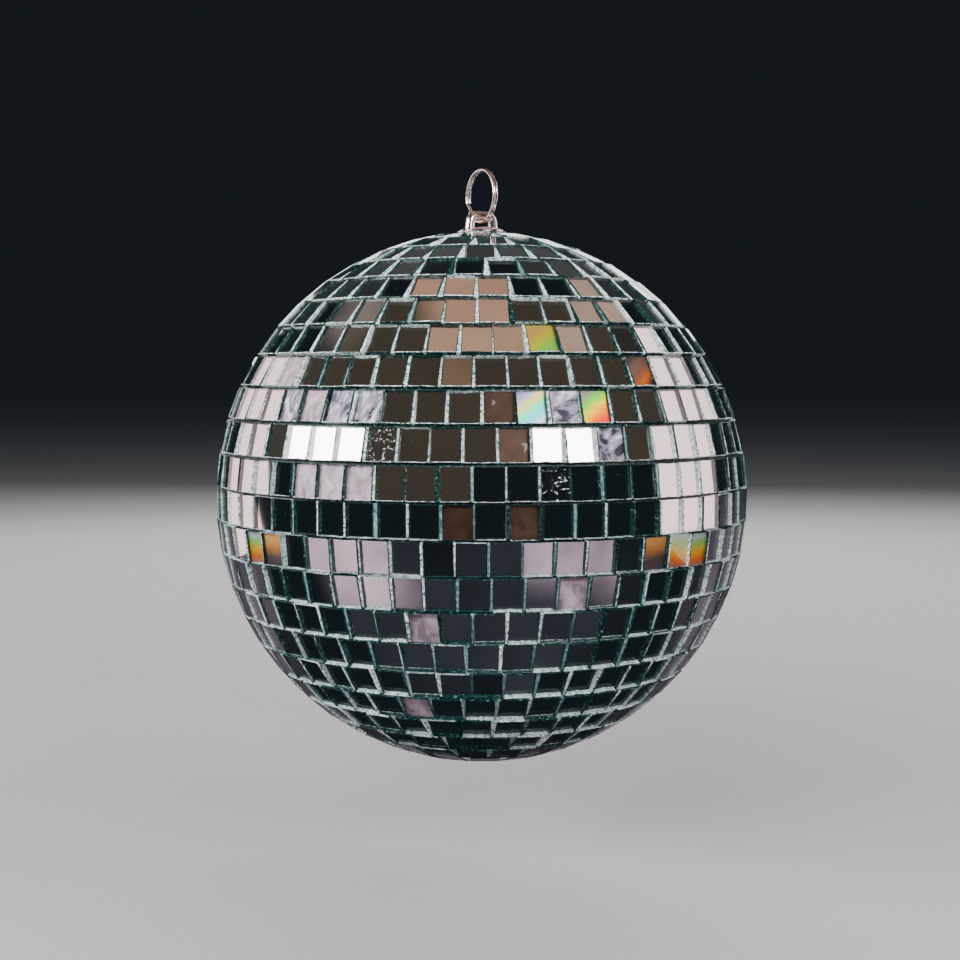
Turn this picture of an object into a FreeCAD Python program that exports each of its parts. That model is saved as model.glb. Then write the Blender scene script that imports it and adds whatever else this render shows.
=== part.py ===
"""Mirror ball: cut glass tiles on a hollow plastic core, hung by a split ring in a wire eye.

The frame: +Z is up, and the origin is the inside top of the split ring, where a hook bears.
Heights in this file are counted from the centre of the ball, and save() moves each piece down
so that the hanging point comes to the origin. The ring lies in the YZ plane, and the wire eye
that it hangs on runs along X.
"""
import FreeCAD
import Part
import math
import os

from FreeCAD import Vector

os.makedirs("parts", exist_ok=True)

# Glass tiles.
FACE_RADIUS = 99.8          # centre of the ball to the middle of a tile's face
TILE_WIDTH = 10.0
TILE_HEIGHT = 11.6
TILE_THICKNESS = 2.0
ROW_PITCH = 7.1             # mean degrees of latitude from one row to the next
ROWS_EACH_SIDE = 11         # rows above the equator row, and as many below it
EQUATOR_TILES = 57
CORNER_GAP = 0.16           # least gap between two tiles of a row, at their corners nearest the pole
POLE_TILE_SIDE = 9.6        # the cut square tiles, two by two, that close each pole
POLE_TILE_GAP = 0.8
POLE_NOTCH_RADIUS = 4.0     # the top four are nipped off round the bolt

# Where each row was started, in tile pitches from the front of the ball, from the top row down.
# The rows were laid one at a time, so their upright joints don't line up.
FRONT_ANGLE = -121.7
ROW_STARTS = (
    0.35, -0.2, 0.45, 0.13, -0.15, -0.12, 0.34, -0.25, 0.0, 0.47, -0.29,
    -0.21,
    0.21, 0.28, -0.24, -0.45, -0.3, 0.46, 0.34, -0.1, 0.2, -0.4, 0.1,
)

# How far above its even place each row was laid by hand, in degrees of latitude, in the same order.
ROW_LIFTS = (
    0.0, 0.1, 0.25, 0.42, 0.58, 0.6, 0.45, 0.18, -0.1, -0.38, -0.58,
    -0.55,
    -0.45, -0.35, -0.2, 0.0, 0.15, 0.15, 0.1, 0.05, 0.0, 0.0, 0.0,
)

# Core and adhesive.
CORE_RADIUS = 97.0
CORE_WALL = 1.8
LAP_HEIGHT = 4.0            # tongue of the upper half inside the lower half
LAP_WALL = 0.85
FIT_GAP = 0.05
ADHESIVE_INNER = 97.03
ADHESIVE_OUTER = 97.75
ADHESIVE_HOLE = 3.2
BOSS_RADIUS = 15.0          # flat-faced pad inside the top of the core, under the spreader plate
BOSS_FACE = 91.0

# Split ring.
RING_INNER_RADIUS = 9.2
RING_WIRE = 1.0             # diameter of the wire
RING_TURN_OFFSET = 0.53     # each turn's plane from the middle plane
RING_CRANK_ANGLE = 24.0     # stretch over which the wire steps from one turn to the other
RING_CRANK_PLACE = 204.0    # middle of that stretch, counted from the front (-Y) over the top

# Wire eye, from foot to foot along X.
EYE_WIRE = 3.4
EYE_BAR_HEIGHT = 106.0      # middle of the bar that the ring hangs on
EYE_SHOULDER = 4.5          # half the distance between the eye's two corners, before rounding
EYE_FOOT = 5.5              # half the distance between its feet
EYE_BEND_RADIUS = 2.4

# Domed dish and the fasteners.
DISH_RADIUS = 8.95
DISH_THICKNESS = 0.9
DISH_RIM_HEIGHT = 99.7      # underside of the rim, just clear of the pole tiles
DISH_CROWN_HEIGHT = 101.5   # top of the flat crown
DISH_CROWN_RADIUS = 3.8
BOLT_RADIUS = 2.5
BOLT_LENGTH = 19.5
BOLT_HEAD_RADIUS = 3.45     # countersunk, so that the ring swings clear of it
BOLT_HEAD_LAND = 0.1        # upright edge of the head, above its cone
BOLT_SLOT_WIDTH = 0.9
BOLT_SLOT_DEPTH = 0.6
BOLT_HOLE_RADIUS = 2.75
PLATE_RADIUS = 13.0
PLATE_THICKNESS = 1.6
WASHER_RADIUS = 4.4
WASHER_THICKNESS = 1.2
WASHER_SPLIT = 0.8
NUT_ACROSS_FLATS = 8.0
NUT_HEIGHT = 4.0
NUT_BORE_RADIUS = 2.52
SEAT_GAP = 0.02             # between pieces that are screwed or glued face to face

TILE_BACK = FACE_RADIUS - TILE_THICKNESS
RING_RADIUS = RING_INNER_RADIUS + RING_WIRE / 2
RING_CENTRE_HEIGHT = EYE_BAR_HEIGHT + RING_INNER_RADIUS - EYE_WIRE / 2 - FIT_GAP
HANG_HEIGHT = RING_CENTRE_HEIGHT + RING_INNER_RADIUS

UP = Vector(0, 0, 1)
ORIGIN = Vector(0, 0, 0)


def save(name, shape):
    """Move a piece down to the row's frame and write it."""
    placed = shape.copy()
    placed.translate(Vector(0, 0, -HANG_HEIGHT))
    placed.exportStep(os.path.join("parts", name + ".step"))


def profile_point(radius, height):
    return Vector(radius, 0, height)


def line(start, end):
    return Part.LineSegment(profile_point(*start), profile_point(*end)).toShape()


def arc(start, through, end):
    return Part.Arc(profile_point(*start), profile_point(*through), profile_point(*end)).toShape()


def revolved(edges):
    """A solid of revolution about Z from the edges of its half section."""
    face = Part.Face(Part.Wire(edges))
    return face.revolve(ORIGIN, UP, 360)


def on_sphere(radius, height):
    """The half-section point of a sphere about the ball's centre, at a height."""
    return (math.sqrt(radius ** 2 - height ** 2), height)


def on_sphere_at(radius, angle):
    """The half-section point of a sphere about the ball's centre, at a latitude."""
    return (radius * math.cos(math.radians(angle)), radius * math.sin(math.radians(angle)))


def tube(inner_radius, outer_radius, bottom, height):
    base = Vector(0, 0, bottom)
    return Part.makeCylinder(outer_radius, height, base).cut(Part.makeCylinder(inner_radius, height, base))


# --- tiles ---------------------------------------------------------------------------------------

def tiles_in_row(latitude):
    """As many tiles as the equator's pitch gives, or as fit side by side nearest the pole."""
    slope = math.radians(abs(latitude))
    by_pitch = round(EQUATOR_TILES * math.cos(slope))
    tight_radius = TILE_BACK * math.cos(slope) - TILE_HEIGHT / 2 * math.sin(slope)
    half_step = math.atan((TILE_WIDTH + CORNER_GAP) / 2 / tight_radius)
    return min(by_pitch, int(math.pi / half_step))


def tile_row(latitude, start):
    count = tiles_in_row(latitude)
    pitch = 360.0 / count
    blank_corner = Vector(TILE_BACK, -TILE_WIDTH / 2, -TILE_HEIGHT / 2)
    tiles = []
    for index in range(count):
        tile = Part.makeBox(TILE_THICKNESS, TILE_WIDTH, TILE_HEIGHT, blank_corner)
        tile.rotate(ORIGIN, Vector(0, 1, 0), -latitude)
        tile.rotate(ORIGIN, UP, FRONT_ANGLE + (start + index + 0.5) * pitch)
        tiles.append(tile)
    return Part.makeCompound(tiles)


def pole_tiles(side):
    """Four cut square tiles round a pole, each square to the ball at its own middle; side is 1 or -1."""
    offset = (POLE_TILE_SIDE + POLE_TILE_GAP) / 2
    tilt = math.degrees(math.asin(offset / FACE_RADIUS))
    half = POLE_TILE_SIDE / 2
    tiles = []
    for x_side in (-1, 1):
        for y_side in (-1, 1):
            blank_corner = Vector(-half, -half, TILE_BACK)
            tile = Part.makeBox(POLE_TILE_SIDE, POLE_TILE_SIDE, TILE_THICKNESS, blank_corner)
            tile.rotate(ORIGIN, Vector(0, 1, 0), x_side * tilt)
            tile.rotate(ORIGIN, Vector(1, 0, 0), -y_side * tilt)
            if side < 0:
                tile.rotate(ORIGIN, Vector(1, 0, 0), 180)
            tiles.append(tile)
    return tiles


def top_pole_tiles():
    notch_bottom = Vector(0, 0, TILE_BACK - TILE_THICKNESS)
    notch = Part.makeCylinder(POLE_NOTCH_RADIUS, 3 * TILE_THICKNESS, notch_bottom)
    return Part.makeCompound([tile.cut(notch).Solids[0] for tile in pole_tiles(1)])


def save_tiles():
    latitudes = [row * ROW_PITCH for row in range(ROWS_EACH_SIDE, -ROWS_EACH_SIDE - 1, -1)]
    for row, (latitude, lift, start) in enumerate(zip(latitudes, ROW_LIFTS, ROW_STARTS)):
        step = ROWS_EACH_SIDE - row
        if step == 0:
            name = "tile_row_equator"
        elif step > 0:
            name = "tile_row_upper_%02d" % step
        else:
            name = "tile_row_lower_%02d" % -step
        save(name, tile_row(latitude + lift, start))
    save("pole_tiles_top", top_pole_tiles())
    save("pole_tiles_bottom", Part.makeCompound(pole_tiles(-1)))


# --- core and adhesive ---------------------------------------------------------------------------

def core_upper_half():
    """Half shell with a flat pad and bolt hole at the pole, and a tongue below the equator."""
    inner = CORE_RADIUS - CORE_WALL
    pole_edge = (BOLT_HOLE_RADIUS, math.sqrt(CORE_RADIUS ** 2 - BOLT_HOLE_RADIUS ** 2))
    pad_edge = (BOSS_RADIUS, math.sqrt(inner ** 2 - BOSS_RADIUS ** 2))
    return revolved([
        arc((CORE_RADIUS, 0), on_sphere_at(CORE_RADIUS, 45), pole_edge),
        line(pole_edge, (BOLT_HOLE_RADIUS, BOSS_FACE)),
        line((BOLT_HOLE_RADIUS, BOSS_FACE), (BOSS_RADIUS, BOSS_FACE)),
        line((BOSS_RADIUS, BOSS_FACE), pad_edge),
        arc(pad_edge, on_sphere_at(inner, 45), (inner, 0)),
        line((inner, 0), (inner, -LAP_HEIGHT)),
        line((inner, -LAP_HEIGHT), (inner + LAP_WALL, -LAP_HEIGHT)),
        line((inner + LAP_WALL, -LAP_HEIGHT), (inner + LAP_WALL, 0)),
        line((inner + LAP_WALL, 0), (CORE_RADIUS, 0)),
    ])


def core_lower_half():
    """Half shell with the rebate that takes the upper half's tongue."""
    inner = CORE_RADIUS - CORE_WALL
    rebate = inner + LAP_WALL + FIT_GAP
    floor = -LAP_HEIGHT - FIT_GAP
    rim = on_sphere(CORE_RADIUS, -FIT_GAP)
    shelf = on_sphere(inner, floor)
    return revolved([
        arc(rim, on_sphere_at(CORE_RADIUS, -45), (0, -CORE_RADIUS)),
        line((0, -CORE_RADIUS), (0, -inner)),
        arc((0, -inner), on_sphere_at(inner, -45), shelf),
        line(shelf, (rebate, floor)),
        line((rebate, floor), (rebate, -FIT_GAP)),
        line((rebate, -FIT_GAP), rim),
    ])


def adhesive_upper():
    outer_edge = (ADHESIVE_HOLE, math.sqrt(ADHESIVE_OUTER ** 2 - ADHESIVE_HOLE ** 2))
    inner_edge = (ADHESIVE_HOLE, math.sqrt(ADHESIVE_INNER ** 2 - ADHESIVE_HOLE ** 2))
    return revolved([
        arc((ADHESIVE_OUTER, 0), on_sphere_at(ADHESIVE_OUTER, 45), outer_edge),
        line(outer_edge, inner_edge),
        arc(inner_edge, on_sphere_at(ADHESIVE_INNER, 45), (ADHESIVE_INNER, 0)),
        line((ADHESIVE_INNER, 0), (ADHESIVE_OUTER, 0)),
    ])


def adhesive_lower():
    outer_rim = on_sphere(ADHESIVE_OUTER, -FIT_GAP)
    inner_rim = on_sphere(ADHESIVE_INNER, -FIT_GAP)
    return revolved([
        arc(outer_rim, on_sphere_at(ADHESIVE_OUTER, -45), (0, -ADHESIVE_OUTER)),
        line((0, -ADHESIVE_OUTER), (0, -ADHESIVE_INNER)),
        arc((0, -ADHESIVE_INNER), on_sphere_at(ADHESIVE_INNER, -45), inner_rim),
        line(inner_rim, outer_rim),
    ])


# --- hanger --------------------------------------------------------------------------------------

def dish_top_edge(lift):
    """The dome's upper line, from the rim to the crown, raised by lift."""
    rim = (DISH_RADIUS, DISH_RIM_HEIGHT + DISH_THICKNESS / 2 + lift)
    middle = (0.7 * DISH_RADIUS, DISH_CROWN_HEIGHT - DISH_THICKNESS / 2 + lift)
    crown = (DISH_CROWN_RADIUS, DISH_CROWN_HEIGHT + lift)
    return rim, middle, crown


def dish():
    rim, middle, crown = dish_top_edge(0)
    crown_under = DISH_CROWN_HEIGHT - DISH_THICKNESS
    rim_under = (DISH_RADIUS - DISH_THICKNESS / 2, DISH_RIM_HEIGHT)
    middle_under = (0.68 * DISH_RADIUS, DISH_RIM_HEIGHT + DISH_THICKNESS / 2)
    sink_radius = BOLT_HEAD_RADIUS + FIT_GAP
    sink_bottom = DISH_CROWN_HEIGHT - BOLT_HEAD_LAND
    hole_radius = sink_radius - (sink_bottom - crown_under)
    return revolved([
        line((DISH_RADIUS, DISH_RIM_HEIGHT), rim),
        arc(rim, middle, crown),
        line(crown, (sink_radius, DISH_CROWN_HEIGHT)),
        line((sink_radius, DISH_CROWN_HEIGHT), (sink_radius, sink_bottom)),
        line((sink_radius, sink_bottom), (hole_radius, crown_under)),
        line((hole_radius, crown_under), (DISH_CROWN_RADIUS, crown_under)),
        arc((DISH_CROWN_RADIUS, crown_under), middle_under, rim_under),
        line(rim_under, (DISH_RADIUS, DISH_RIM_HEIGHT)),
    ])


def dish_envelope():
    """Everything under the dome's upper line, which trims the eye's feet to the dome."""
    rim, middle, crown = dish_top_edge(SEAT_GAP)
    bottom = DISH_RIM_HEIGHT - 5 * DISH_THICKNESS
    return revolved([
        line((DISH_RADIUS, bottom), rim),
        arc(rim, middle, crown),
        line(crown, (0, crown[1])),
        line((0, crown[1]), (0, bottom)),
        line((0, bottom), (DISH_RADIUS, bottom)),
    ])


def wire_eye():
    """Round wire bent over two shoulders, with both feet brazed to the dome."""
    foot_height = DISH_RIM_HEIGHT
    leg = Vector(EYE_FOOT - EYE_SHOULDER, 0, foot_height - EYE_BAR_HEIGHT)
    leg.normalize()
    turn = math.acos(-leg.dot(Vector(-1, 0, 0)))
    tangent = EYE_BEND_RADIUS * math.tan(turn / 2)
    corner = Vector(EYE_SHOULDER, 0, EYE_BAR_HEIGHT)
    bar_end = corner - Vector(tangent, 0, 0)
    leg_start = corner + leg * tangent
    bend_centre = bar_end - Vector(0, 0, EYE_BEND_RADIUS)
    middle_direction = Vector(math.sin(turn / 2), 0, math.cos(turn / 2))
    bend_middle = bend_centre + middle_direction * EYE_BEND_RADIUS
    foot = Vector(EYE_FOOT, 0, foot_height)

    def mirrored(point):
        return Vector(-point.x, point.y, point.z)

    path = Part.Wire([
        Part.LineSegment(mirrored(foot), mirrored(leg_start)).toShape(),
        Part.Arc(mirrored(leg_start), mirrored(bend_middle), mirrored(bar_end)).toShape(),
        Part.LineSegment(mirrored(bar_end), bar_end).toShape(),
        Part.Arc(bar_end, bend_middle, leg_start).toShape(),
        Part.LineSegment(leg_start, foot).toShape(),
    ])
    section = Part.Wire(Part.makeCircle(EYE_WIRE / 2, mirrored(foot), mirrored(leg)))
    wire = path.makePipeShell([section], True, False)
    return wire.cut(dish_envelope()).Solids[0]


def hanger_bolt():
    """Countersunk bolt with a slot, its head level with the crown of the dish."""
    top = DISH_CROWN_HEIGHT
    land = top - BOLT_HEAD_LAND
    neck = land - (BOLT_HEAD_RADIUS - BOLT_RADIUS)
    tip = top - BOLT_LENGTH
    chamfer = 0.5
    bolt = revolved([
        line((0, top), (BOLT_HEAD_RADIUS, top)),
        line((BOLT_HEAD_RADIUS, top), (BOLT_HEAD_RADIUS, land)),
        line((BOLT_HEAD_RADIUS, land), (BOLT_RADIUS, neck)),
        line((BOLT_RADIUS, neck), (BOLT_RADIUS, tip + chamfer)),
        line((BOLT_RADIUS, tip + chamfer), (BOLT_RADIUS - chamfer, tip)),
        line((BOLT_RADIUS - chamfer, tip), (0, tip)),
        line((0, tip), (0, top)),
    ])
    slot_corner = Vector(-BOLT_HEAD_RADIUS, -BOLT_SLOT_WIDTH / 2, top - BOLT_SLOT_DEPTH)
    slot = Part.makeBox(2 * BOLT_HEAD_RADIUS, BOLT_SLOT_WIDTH, BOLT_SLOT_DEPTH, slot_corner)
    return bolt.cut(slot)


def save_fasteners():
    plate_bottom = BOSS_FACE - SEAT_GAP - PLATE_THICKNESS
    washer_bottom = plate_bottom - SEAT_GAP - WASHER_THICKNESS
    nut_bottom = washer_bottom - SEAT_GAP - NUT_HEIGHT
    save("spreader_plate", tube(BOLT_HOLE_RADIUS, PLATE_RADIUS, plate_bottom, PLATE_THICKNESS))

    washer = tube(BOLT_HOLE_RADIUS, WASHER_RADIUS, washer_bottom, WASHER_THICKNESS)
    split_corner = Vector(0, -WASHER_SPLIT / 2, washer_bottom)
    split = Part.makeBox(WASHER_RADIUS, WASHER_SPLIT, WASHER_THICKNESS, split_corner)
    save("spring_washer", washer.cut(split))

    corner_radius = NUT_ACROSS_FLATS / math.sqrt(3)
    corners = []
    for index in range(7):
        angle = math.radians(60 * index)
        corners.append(Vector(corner_radius * math.cos(angle), corner_radius * math.sin(angle), nut_bottom))
    prism = Part.Face(Part.makePolygon(corners)).extrude(Vector(0, 0, NUT_HEIGHT))
    bore = Part.makeCylinder(NUT_BORE_RADIUS, NUT_HEIGHT, Vector(0, 0, nut_bottom))
    save("hex_nut", prism.cut(bore))


# --- split ring ----------------------------------------------------------------------------------

def ring_point(offset, angle):
    """A point of the wire's middle line; the angle runs from the front (-Y) over the top."""
    turned = math.radians(angle)
    height = RING_CENTRE_HEIGHT + RING_RADIUS * math.sin(turned)
    return Vector(offset, -RING_RADIUS * math.cos(turned), height)


def ring_turn(offset):
    """One turn of wire, open over the crank."""
    start = RING_CRANK_PLACE + RING_CRANK_ANGLE / 2
    tangent = Vector(0, math.sin(math.radians(start)), math.cos(math.radians(start)))
    section = Part.Face(Part.Wire(Part.makeCircle(RING_WIRE / 2, ring_point(offset, start), tangent)))
    centre = Vector(offset, 0, RING_CENTRE_HEIGHT)
    return section.revolve(centre, Vector(-1, 0, 0), 360 - RING_CRANK_ANGLE)


def split_ring():
    """Two turns side by side, joined by a straight step across."""
    from_point = ring_point(-RING_TURN_OFFSET, RING_CRANK_PLACE - RING_CRANK_ANGLE / 2)
    to_point = ring_point(RING_TURN_OFFSET, RING_CRANK_PLACE + RING_CRANK_ANGLE / 2)
    step = to_point - from_point
    crank = Part.makeCylinder(RING_WIRE / 2, step.Length, from_point, step)
    elbows = [Part.makeSphere(RING_WIRE / 2, point) for point in (from_point, to_point)]
    ring = ring_turn(-RING_TURN_OFFSET).fuse([ring_turn(RING_TURN_OFFSET), crank] + elbows)
    return ring.Solids[0]


save_tiles()
save("core_upper_half", core_upper_half())
save("core_lower_half", core_lower_half())
save("adhesive_upper", adhesive_upper())
save("adhesive_lower", adhesive_lower())
save("cap_dish", dish())
save("wire_eye", wire_eye())
save("hanger_bolt", hanger_bolt())
save_fasteners()
save("split_ring", split_ring())
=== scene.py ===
"""Looks of the mirror ball: cut glass tiles with silvered backs, adhesive in the joints, nickel hanger.

Everything is in metres in the row's frame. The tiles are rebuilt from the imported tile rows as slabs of
real glass with rough cut edges. Each slab sits where its CAD tile sits, moved, turned and tilted a
little, as a hand would have laid it.
"""

import math
import random

import bpy
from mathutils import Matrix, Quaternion, Vector


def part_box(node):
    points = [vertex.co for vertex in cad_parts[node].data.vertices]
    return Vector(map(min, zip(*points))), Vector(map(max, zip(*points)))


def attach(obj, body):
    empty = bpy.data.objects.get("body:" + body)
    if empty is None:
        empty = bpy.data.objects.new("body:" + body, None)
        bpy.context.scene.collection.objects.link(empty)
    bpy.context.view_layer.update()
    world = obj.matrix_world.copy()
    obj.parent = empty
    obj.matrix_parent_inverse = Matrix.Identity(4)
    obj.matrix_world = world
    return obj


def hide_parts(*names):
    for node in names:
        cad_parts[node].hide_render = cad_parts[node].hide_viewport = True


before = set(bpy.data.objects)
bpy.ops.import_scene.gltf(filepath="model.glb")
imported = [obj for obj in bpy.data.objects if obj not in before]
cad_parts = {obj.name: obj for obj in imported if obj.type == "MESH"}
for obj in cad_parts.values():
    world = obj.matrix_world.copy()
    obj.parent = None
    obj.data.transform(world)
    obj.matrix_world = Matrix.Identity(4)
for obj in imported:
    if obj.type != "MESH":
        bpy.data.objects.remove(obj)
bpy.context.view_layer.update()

MM = 0.001

# Camera: seen from the front left of the frame, a little above the ball's middle.
CAMERA_AZIMUTH = -31.7      # degrees
CAMERA_ELEVATION = 4.45     # degrees
CAMERA_DISTANCE = 0.610
CAMERA_LENS = 59.9          # mm, for a sensor 36 mm wide
CAMERA_SENSOR = 36          # mm
CAMERA_CLIP_START = 0.01
AIM_ABOVE_CENTRE = 0.0061
AIM_LEFT_OF_CENTRE = 0.0006

# Glass tiles. A pair holds the least and the greatest value drawn, unless its comment says otherwise.
ARRIS = 0.05 * MM           # mean width of the chipped front edges
LOWER_ARRIS = 0.19 * MM     # the same along the lower edge, where the snap broke away more
LOWER_EDGE_REACH = 0.45 * MM    # how far up from a tile's lowest point its edge counts as the lower one
ARRIS_VARIES = (0.45, 1.6)  # times the mean width
ARRIS_DEPTH = 0.7           # times the width
BACK_RETREAT = (0, 0.1 * MM)    # how far the back's outline lies inside the front's
SILVER_INSET = 0.065 * MM   # mean width of the bare rim round the silvering
RIM_VARIES = (0.4, 1.6)     # times the mean width
CORNER_RADII = (0.28 * MM, 0.8 * MM)
SIDE_POINTS = 7             # outline points on a tile's side
CORNER_POINTS = 4
EDGE_WAVER = 0.04 * MM
CHIP_DEPTH = (0.08 * MM, 0.28 * MM)
CHIP_CHANCE = 0.3           # for each side of a tile
CHIP_PLACE = (0.1, 0.9)     # share of the side's length
CHIP_REACH = 1.2            # to either side of its middle, in spaces between the side's points
SHIFT_ALONG_ROW = 0.42 * MM     # greatest
SHIFT_ACROSS_ROW = 0.12 * MM    # greatest
SHIFT_SPREADS = (0.55, 0.5)     # spread of each of these two shifts, over its greatest value
WIDTH_VARIES = (0.99, 1.015)    # times the CAD tile's width
HEIGHT_VARIES = (0.99, 1.01)    # times the CAD tile's height
TURN = 0.5                  # degrees in the tile's own plane: the spread, and half the greatest turn
SMALL_TILT = 0.55           # degrees, spread for most tiles
LARGE_TILT = 1.6            # degrees, spread for the few that were pressed in badly
LARGE_TILT_CHANCE = 0.12
TILT_LIMIT = 2.5            # degrees
SHADED_ANGLES = (math.radians(-17), math.radians(5))    # painted shade: a strip low on the front with few bright edges
EDGE_ON_ANGLE = math.radians(38)    # from the front; beyond it the tiles are seen nearly edge on
# Chances that an edge is bright with white frosting rather than dark snapped glass: partly the glass's own
# frosting, partly painted glints where lamps would catch the edges, and painted shade in the shaded strip.
LOWER_ARRIS_GLINT_CHANCE = (0.9, 0.3)         # outside the shaded strip, and in it
POLE_SIDE_GLINT_CHANCE = (0.22, 0.75, 0.12)   # nearest a pole: above the middle, below it, in the shaded strip
OTHER_SIDE_GLINT_CHANCE = (0.12, 0.5)         # the other sides: on the front, and beyond the edge-on angle
FACE_SINK = 0.02 * MM       # keeps the loosened tiles inside the ball's even outline
RIGHT, TOP, LEFT, BOTTOM = range(4)     # a tile's sides

# Places in the tiles' material list, in the order in which tile_materials() makes them.
GLASS, FROSTED, SNAPPED, BARE_RIM = range(4)
CLEAN, FLECKED, STREAKED, MILKY, TARNISHED = range(4, 9)
# RAINBOW_COOL to SUNSET are painted glints: bands of colour painted on the tiles' backs in place of light
# split by the glass.
RAINBOW_COOL, RAINBOW_WARM, RAINBOW_PALE, EMBER, AMBER, SUNSET = range(9, 15)
ODD_KINDS = (FLECKED, STREAKED, MILKY, TARNISHED, RAINBOW_COOL, RAINBOW_WARM)
ODD_WEIGHTS = (5, 5, 4, 3, 1, 1)
ODD_CHANCE = 0.05

# The odd tiles of the front, by row and by place to the right of the row's foremost tile. Some of them are
# painted glints, and the milky ones carry a painted mauve reflection.
FRONT_ODD = {
    "upper_05": {2: RAINBOW_PALE},
    "upper_04": {-7: MILKY, 5: EMBER},
    "upper_03": {-7: STREAKED, -6: MILKY, -5: STREAKED, -4: STREAKED, 0: TARNISHED,
                 1: RAINBOW_COOL, 2: STREAKED, 3: RAINBOW_WARM},
    "upper_02": {-3: FLECKED, 1: TARNISHED, 4: STREAKED},
    "upper_01": {-6: MILKY, -5: MILKY, -4: MILKY, 2: FLECKED},
    "equator": {-1: TARNISHED, 1: TARNISHED},
    "lower_01": {-8: SUNSET, -7: AMBER, 6: AMBER, 7: SUNSET, 8: SUNSET},
    "lower_02": {3: MILKY},
    "lower_03": {-2: MILKY},
    "lower_06": {-2: MILKY},
}
FOREMOST_BIAS = 0.001       # radians to the right, where two tiles are equally near the front
FRONT_PLACES = 9            # beyond this many places to either side the odd tiles are drawn by lot

# Painted glints: bands of colour painted across the backs of some tiles, standing in for the light that
# the glass splits into colours.
RAINBOW_PERIOD = 14.5 * MM
RAINBOW_WAVER = 0.35        # share of a period
UPWARDS = (0, 0, 1)
SLANTING = (-0.55, 0.34, 0.76)      # up and to the left, as the tiles of the front are seen
COOL_START = 4.6 * MM       # where a period starts, from the origin along the slant
WARM_START = 5.9 * MM
PALE_START = 6.2 * MM
EMBER_START = 3.6 * MM
COOL_BANDS = (
    (0.9, 0.92, 1.0), (0.10, 0.80, 1.0), (0.10, 0.95, 0.50), (1.0, 0.85, 0.20),
    (0.45, 0.38, 0.70), (0.12, 0.10, 0.24), (0.9, 0.92, 1.0),
)
WARM_BANDS = (
    (0.75, 0.02, 0.01), (0.80, 0.14, 0.004), (0.80, 0.50, 0.004), (0.12, 0.50, 0.02),
    (0.20, 0.17, 0.15), (0.16, 0.13, 0.13), (0.75, 0.02, 0.01),
)
PALE_BANDS = (
    (0.25, 1.0, 0.15), (1.0, 0.90, 0.05), (1.0, 0.60, 0.22), (1.0, 0.85, 0.05), (0.25, 1.0, 0.15),
)
EMBER_BANDS = (
    (0.10, 0.08, 0.07), (0.9, 0.22, 0.03), (0.30, 0.17, 0.12), (0.28, 0.19, 0.15),
    (0.12, 0.09, 0.08), (0.10, 0.08, 0.07),
)
# Level bands of painted glint, from the bottom of a tile upwards.
AMBER_BANDS = (
    (0.09, 0.08, 0.09), (0.14, 0.11, 0.11), (0.80, 0.36, 0.09), (1.0, 0.60, 0.20), (0.6, 0.4, 0.3),
)
SUNSET_BANDS = (
    (0.40, 0.22, 0.20), (0.95, 0.25, 0.04), (1.0, 0.70, 0.03), (0.35, 0.85, 0.25),
    (0.70, 0.84, 1.0), (0.75, 0.80, 1.0),
)

# Adhesive beads in the upright joints.
BEAD_STATIONS = 18
BEAD_COLUMNS = 4
BEAD_LENGTH = 0.97          # share of the tile's height
BEAD_TOP = (0.25 * MM, 0.8 * MM)    # how far the bead stays under the tiles' faces
BEAD_WAVE = 0.12 * MM       # rise and fall from station to station
BEAD_GRAIN = (0, 0.14 * MM)     # least and greatest dent in its top
BEAD_HOLLOW = 0.2 * MM      # sag of its top between the two tiles
BEAD_SLIT = 0.14            # share of the joint left open on each side of the bead
UPPER_ROWS = 0.2            # height above the ball's middle, over its radius
BEAD_SHARES_UPPER = (90, 6, 4)      # of dusty, clear and green beads, in the upper rows
BEAD_SHARES_BELOW = (40, 40, 20)

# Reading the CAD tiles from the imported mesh.
FACES_OUTWARDS = 0.9        # least cosine between a face's normal and the way out from the ball's centre
TILE_MARGIN = 1.02          # times the tile's width and height, to be sure of taking in its corners

shell_low, shell_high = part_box("adhesive_lower")
SHELL_RADIUS = (shell_high.x - shell_low.x) / 2
CENTRE = Vector((0, 0, shell_low.z + SHELL_RADIUS))
FRONT_ANGLE = math.radians(CAMERA_AZIMUTH - 90)
TILE_NODES = sorted(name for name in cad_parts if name.startswith("tile_row"))


# --- materials -----------------------------------------------------------------------------------

def new_material(name):
    material = bpy.data.materials.new(name)
    material.use_nodes = True
    nodes = material.node_tree.nodes
    shader = nodes["Principled BSDF"]
    return material, nodes, material.node_tree.links, shader


def object_noise(nodes, links, scale, detail, kind="ShaderNodeTexNoise"):
    place = nodes.new("ShaderNodeTexCoord")
    noise = nodes.new(kind)
    noise.inputs["Scale"].default_value = scale
    noise.inputs["Detail"].default_value = detail
    links.new(place.outputs["Object"], noise.inputs["Vector"])
    return noise


def ramp(nodes, links, source, stops):
    """Colours along a value, from stops of (value, colour)."""
    node = nodes.new("ShaderNodeValToRGB")
    elements = node.color_ramp.elements
    while len(elements) < len(stops):
        elements.new(0.5)
    for element, (position, colour) in zip(elements, stops):
        element.position = position
        element.color = (*colour, 1.0)
    links.new(source, node.inputs["Fac"])
    return node.outputs["Color"]


def map_range(nodes, links, source, low, high):
    node = nodes.new("ShaderNodeMapRange")
    node.inputs["To Min"].default_value = low
    node.inputs["To Max"].default_value = high
    links.new(source, node.inputs["Value"])
    return node.outputs["Result"]


def bump(nodes, links, source, shader, strength, distance):
    node = nodes.new("ShaderNodeBump")
    node.inputs["Strength"].default_value = strength
    node.inputs["Distance"].default_value = distance
    links.new(source, node.inputs["Height"])
    links.new(node.outputs["Normal"], shader.inputs["Normal"])


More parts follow.
